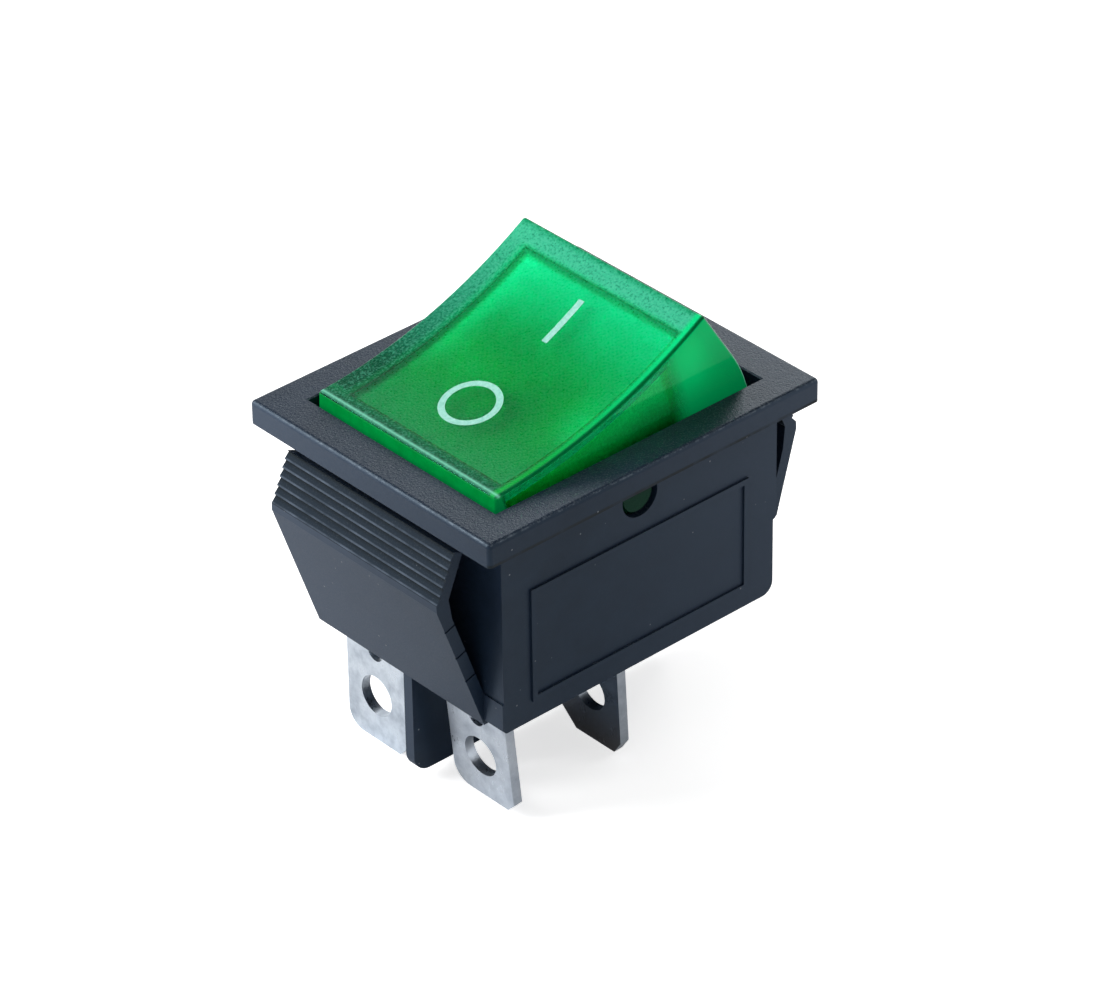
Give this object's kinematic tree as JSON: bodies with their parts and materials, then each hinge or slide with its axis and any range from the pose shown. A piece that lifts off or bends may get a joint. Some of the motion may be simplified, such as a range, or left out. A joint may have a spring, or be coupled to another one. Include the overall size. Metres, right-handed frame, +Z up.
{
  "type": "illuminated panel rocker switch",
  "caption": "Snap-in panel rocker switch with a hollow lit green rocker, side latches, see-saw contacts and push-on blade terminals, shown off.",
  "frame": {"origin": "centre of the bezel's underside, where the switch sits in its panel cut-out", "axes": "+X along the switch from the O end to the I end, +Y along the rocker's pivot axis away from the side with the raised frame, +Z up out of the panel"},
  "size_m": [0.0342, 0.0254, 0.0348],
  "materials": {
    "body_moulding": "fine matte grain",
    "clear_green": "gloss, fine grain on top",
    "core_white": "satin",
    "bulb_glass": "clear",
    "resistor_body": "lacquered",
    "tinned_wire": "bright",
    "plunger_plastic": "polished nose",
    "spring_steel": "bright drawn wire",
    "bar_brass": "rolled",
    "contact_silver": "polished",
    "terminal_plate": "silver plated, a little dulled"
  },
  "bodies": {
    "housing": {"housing": "body_moulding", "end_terminal_1": "terminal_plate", "end_terminal_2": "terminal_plate", "centre_terminal_1": "terminal_plate", "centre_terminal_2": "terminal_plate", "fixed_contact_1": "contact_silver", "fixed_contact_2": "contact_silver"},
    "rocker": {"rocker_cap": "clear_green", "rocker_core": "core_white", "lamp_bulb": "bulb_glass", "resistor": "resistor_body", "lamp_link": "tinned_wire", "lamp_lead_1": "tinned_wire", "lamp_lead_2": "tinned_wire", "plunger_spring_1": "spring_steel", "plunger_spring_2": "spring_steel"},
    "plunger_1": {"plunger_1": "plunger_plastic"},
    "plunger_2": {"plunger_2": "plunger_plastic"},
    "contact_bar_1": {"contact_bar_1": "bar_brass", "moving_contact_1": "contact_silver"},
    "contact_bar_2": {"contact_bar_2": "bar_brass", "moving_contact_2": "contact_silver"}
  },
  "joints": [
    {"name": "rocker_hinge", "type": "hinge", "parent": "housing", "child": "rocker", "pos_m": [0, 0, -0.00195], "axis": [0, 1, 0], "range_deg": [0, 35.4]},
    {"name": "plunger_slide_1", "type": "slide", "parent": "rocker", "child": "plunger_1", "axis": [-0.304, 0, 0.9527], "range_m": [0, 0.001], "stiffness_N_per_m": 50, "deforming": ["plunger_spring_1"]},
    {"name": "plunger_slide_2", "type": "slide", "parent": "rocker", "child": "plunger_2", "axis": [-0.304, 0, 0.9527], "range_m": [0, 0.001], "stiffness_N_per_m": 50, "deforming": ["plunger_spring_2"]},
    {"name": "bar_hinge_1", "type": "hinge", "parent": "housing", "child": "contact_bar_1", "pos_m": [0, -0.00545, -0.00897], "axis": [0, 1, 0], "range_deg": [-18, 0]},
    {"name": "bar_hinge_2", "type": "hinge", "parent": "housing", "child": "contact_bar_2", "pos_m": [0, 0.00545, -0.00897], "axis": [0, 1, 0], "range_deg": [-18, 0]}
  ],
  "couplings": [
    {"joint": "bar_hinge_1", "follows": "rocker_hinge", "ratio": -0.50847},
    {"joint": "bar_hinge_2", "follows": "rocker_hinge", "ratio": -0.50847}
  ]
}
